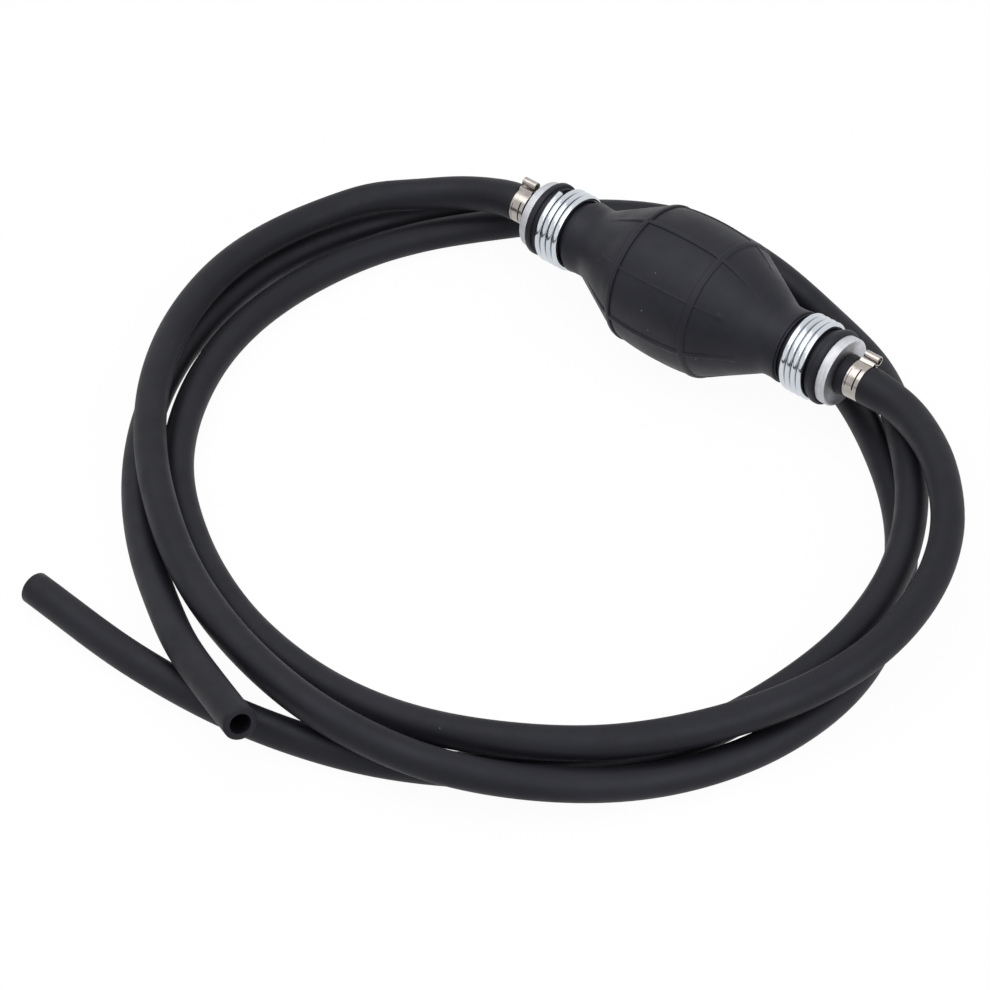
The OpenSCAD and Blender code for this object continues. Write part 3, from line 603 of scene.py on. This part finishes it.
def addWire(name, path, look, material, node):
    edge, sides = look["edge"], look["sides"]
    far = distancesAlong(path)
    tangents = unit(np.gradient(path, far, axis=0))
    away = path * [0, 1, 1] - [0, 0, axisZ]
    out = unit(away - (away * tangents).sum(1, keepdims=True) * tangents)
    across = np.cross(tangents, out)
    centres = np.vstack([path[0], path[0] + tangents[0] * edge, path[1:-1],
                         path[-1] - tangents[-1] * edge, path[-1]])
    double = [0, 0] + list(range(1, len(path) - 1)) + [len(path) - 1] * 2
    radii = np.full(len(centres), look["wire"] / 2)
    radii[[0, -1]] -= edge
    points, straight = sweep(centres, out[double], across[double], radii, far[double], sides)
    faces = gridFaces(len(centres), sides, False)
    faces += [tuple(range(sides))[::-1], tuple((len(centres) - 1) * sides + j for j in range(sides))]
    piece = addPiece(name, points, faces, material, look["sharp"], straight)
    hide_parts(node)
    return piece


def helix(startX, length, radius, look, startAngle):
    t = np.linspace(0, 1, round(look["turns"] * look["perTurn"]) + 1)
    a = np.radians(startAngle + 360 * look["turns"] * t)
    return np.column_stack([startX + length * t, radius * np.cos(a), axisZ + radius * np.sin(a)])


# a coil in the inlet's neck, with a wire's thickness of straight wire at each end
def coilPath(startAngle, pitch):
    turns = helix(-coil["endX"] + coil["wire"] / 2, coil["turns"] * pitch, (coil["bore"] + coil["wire"]) / 2,
                  coil, startAngle)
    first = turns[0] - coil["wire"] * unit(turns[1] - turns[0])
    last = turns[-1] + coil["wire"] * unit(turns[-1] - turns[-2])
    return np.vstack([first, turns, last])


inletCoil = coilPath(coil["inletAngle"], coil["inletPitch"])
addWire("inlet_neck_coil_wire", inletCoil, coil, coilZinc, "inlet_neck_coil")
outletCoil = coilPath(coil["outletAngle"], coil["outletPitch"]) * [-1, -1, 1]  # turned to the other neck
addWire("outlet_neck_coil_wire", outletCoil, coil, coilZinc, "outlet_neck_coil")
for side, joint in (("inlet", "inlet_ball_lift"), ("outlet", "outlet_ball_lift")):
    node = side + "_valve_spring"
    low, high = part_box(node)
    startX, endX = low.x / mm + spring["wire"] / 2, high.x / mm - spring["wire"] / 2
    path = helix(startX, endX - startX, spring["middleD"] / 2, spring, spring["startAngle"])
    piece = addWire(node + "_wire", path, spring, springSteel, node)
    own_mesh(piece)
print("wires made")

clamp = {
    "innerR": 7.45, "thick": 0.5, "width": 6.6, "middleX": 86.8, "inletAngle": 78, "outletAngle": 45,
    # the roll: its own width and radius, its distance from the axis, its turns, and the thicknesses
    # by which it tightens in a turn
    "rollWidth": 6.8, "rollR": 2.2, "rollOut": 10.5, "turnsIn": 0.92, "tighter": 1.15,
    # the strip starts under the roll, and leaves the hose through a fold beside it
    "startAngle": -4.0, "foldFrom": 336, "foldTo": 352, "foldHeight": 1.2,
    # degrees between points on the band, in the fold and on the roll
    "bandStep": 4, "foldStep": 2, "rollStep": 12,
    # edges of the columns from -X to +X, and slots in the band: column, first and last angle from the roll
    "columns": (0, 0.85, 1.05, 4.3, 4.85, 6.6),
    "slots": ((3, 60, 128), (1, 122, 146), (3, 232, 302), (1, 236, 292)),
    "edge": 0.09, "edgeAngle": 75, "sharp": 30,
}


# the middle of the strip's thickness seen along the axis, and the angles of its points on the band
def clampLine():
    middleR = clamp["innerR"] + clamp["thick"] / 2
    rollR = clamp["rollR"] - clamp["thick"] / 2
    bandAngles = np.r_[np.arange(clamp["startAngle"], clamp["foldFrom"], clamp["bandStep"]),
                       np.arange(clamp["foldFrom"], clamp["foldTo"], clamp["foldStep"])]
    share = np.maximum(0, bandAngles - clamp["foldFrom"]) / (clamp["foldTo"] - clamp["foldFrom"])
    r = middleR + clamp["foldHeight"] * np.sin(math.pi * share) ** 2
    r += (clamp["rollOut"] - rollR - middleR) * share ** 2
    a = np.radians(bandAngles)
    band = np.column_stack([-r * np.sin(a), r * np.cos(a)])
    rollAngles = np.arange(0.0, 360 * clamp["turnsIn"], clamp["rollStep"])
    r = rollR - rollAngles / 360 * clamp["thick"] * clamp["tighter"]
    a = np.radians(rollAngles)
    roll = np.column_stack([-r * np.sin(a), clamp["rollOut"] - r * np.cos(a)])
    return np.vstack([band, roll]), bandAngles


# a point on each side of the strip for each place on the line and each edge of a column
def clampPoints(line, bandCount, side, rollAngle):
    tangents = unit(np.gradient(line, axis=0))
    normals = np.column_stack([tangents[:, 1], -tangents[:, 0]])
    turn = math.radians(rollAngle) - math.pi / 2
    cosT, sinT = math.cos(turn), math.sin(turn)
    firstX = side * clamp["middleX"] - clamp["width"] / 2
    spread = [-1] + [0] * (len(clamp["columns"]) - 2) + [1]
    points = []
    for i, (p, n) in enumerate(zip(line, normals)):
        wider = (clamp["rollWidth"] - clamp["width"]) / 2 if i > bandCount else 0
        for x, outwards in zip(clamp["columns"], spread):
            for half in (-clamp["thick"] / 2, clamp["thick"] / 2):
                u, v = p + n * half
                u = -u  # towards the front of the pump
                y, z = u * cosT - v * sinT, u * sinT + v * cosT
                points.append((firstX + x + outwards * wider, y, axisZ + z))
    return points


# both sides of the strip, and its thickness wherever the next cell is open
def clampFaces(count, bandAngles):
    columns = len(clamp["columns"])
    isOpen = {(i, column) for column, first, last in clamp["slots"]
              for i, angle in enumerate(bandAngles) if first <= angle < last}
    cells = [(i, j) for i in range(count - 1) for j in range(columns - 1) if (i, j) not in isOpen]
    whole = set(cells)

    def point(corner, layer):  # the number of a corner's point on one side of the strip
        return (corner[0] * columns + corner[1]) * 2 + layer

    faces = []
    for i, j in cells:
        corners = [(i, j), (i, j + 1), (i + 1, j + 1), (i + 1, j)]
        faces.append([point(c, 1) for c in corners])
        faces.append([point(c, 0) for c in corners[::-1]])
        beside = ((i - 1, j), (i, j + 1), (i + 1, j), (i, j - 1))
        for a, b, neighbour in zip(corners, corners[1:] + corners[:1], beside):
            if neighbour not in whole:
                faces.append([point(a, 0), point(b, 0), point(b, 1), point(a, 1)])
    return faces


def addClamp(name, side, rollAngle, node):
    line, bandAngles = clampLine()
    points = clampPoints(line, len(bandAngles), side, rollAngle)
    faces = clampFaces(len(line), bandAngles)
    piece = addPiece(name, points, faces, clampNickel, clamp["sharp"])
    bevel = piece.modifiers.new("broken edges", "BEVEL")
    bevel.width, bevel.segments = clamp["edge"] * mm, 2
    bevel.limit_method, bevel.angle_limit = "ANGLE", math.radians(clamp["edgeAngle"])
    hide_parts(node)


addClamp("inlet_clamp_strip", -1, clamp["inletAngle"], "inlet_hose_clamp")
addClamp("outlet_clamp_strip", 1, clamp["outletAngle"], "outlet_hose_clamp")
print("clamps made")

room = {
    # side of the floor in metres, its colour, and the share of pure white in what the camera sees of it
    "floor": 6.0, "paper": "#F4F4F4", "glow": 0.96,
    # strength of the white world where it lights the object
    "worldLight": 0.55,
    # what the softboxes point at, their places and sides in metres, and their power in watts
    "aim": (0, -0.1, 0),
    "lamps": {
        "key softbox": {"at": (-0.35, -0.5, 1.5), "side": 1.5, "power": 13},
        "fill softbox": {"at": (1.3, -0.3, 1.0), "side": 1.3, "power": 11},
    },
}


# 1 where the camera sees the white itself or in gloss or through glass, and 0 where it only lights
def addSeen(tree):
    paths = addNode(tree, "LightPath")
    seen = addNode(tree, "Math", {"operation": "MAXIMUM"}, {
        0: paths.outputs["Is Camera Ray"], 1: paths.outputs["Is Glossy Ray"]})
    return addNode(tree, "Math", {"operation": "MAXIMUM"}, {0: seen, 1: paths.outputs["Is Transmission Ray"]})


def addFloor():
    mesh = bpy.data.meshes.new("floor")
    s = room["floor"] / 2
    mesh.from_pydata([(-s, -s, 0), (s, -s, 0), (s, s, 0), (-s, s, 0)], [], [(0, 1, 2, 3)])
    floor = bpy.data.objects.new("floor", mesh)
    bpy.context.scene.collection.objects.link(floor)
    # uncoated white paper: matt, with soft grey shadows
    material = bpy.data.materials.new("white paper sweep")
    tree = emptyTree(material)
    share = addNode(tree, "Math", {"operation": "MULTIPLY", 1: room["glow"]}, {0: addSeen(tree)})
    paper = addNode(tree, "BsdfDiffuse", {"Color": linear(room["paper"])})
    glow = addNode(tree, "Emission", {"Color": (1, 1, 1, 1), "Strength": 1.0})
    both = addNode(tree, "MixShader", links={0: share, 1: paper, 2: glow})
    addNode(tree, "OutputMaterial", links={"Surface": both})
    mesh.materials.append(material)


def addWorld():
    world = bpy.data.worlds.new("studio")
    tree = emptyTree(world)
    strength = addNode(tree, "Mix", {"data_type": "FLOAT", 2: room["worldLight"], 3: 1.0}, {0: addSeen(tree)})
    sky = addNode(tree, "Background", {"Color": (1, 1, 1, 1)}, {"Strength": strength})
    addNode(tree, "OutputWorld", links={"Surface": sky})
    bpy.context.scene.world = world


def addLamp(name, look):
    lamp = bpy.data.objects.new(name, bpy.data.lights.new(name, "AREA"))
    lamp.data.shape, lamp.data.size, lamp.data.energy = "SQUARE", look["side"], look["power"]
    lamp.location = look["at"]
    lamp.rotation_euler = (Vector(room["aim"]) - Vector(look["at"])).to_track_quat("-Z", "Y").to_euler()
    bpy.context.scene.collection.objects.link(lamp)


addFloor()
addWorld()
for name, look in room["lamps"].items():
    addLamp(name, look)
print("floor and light made")
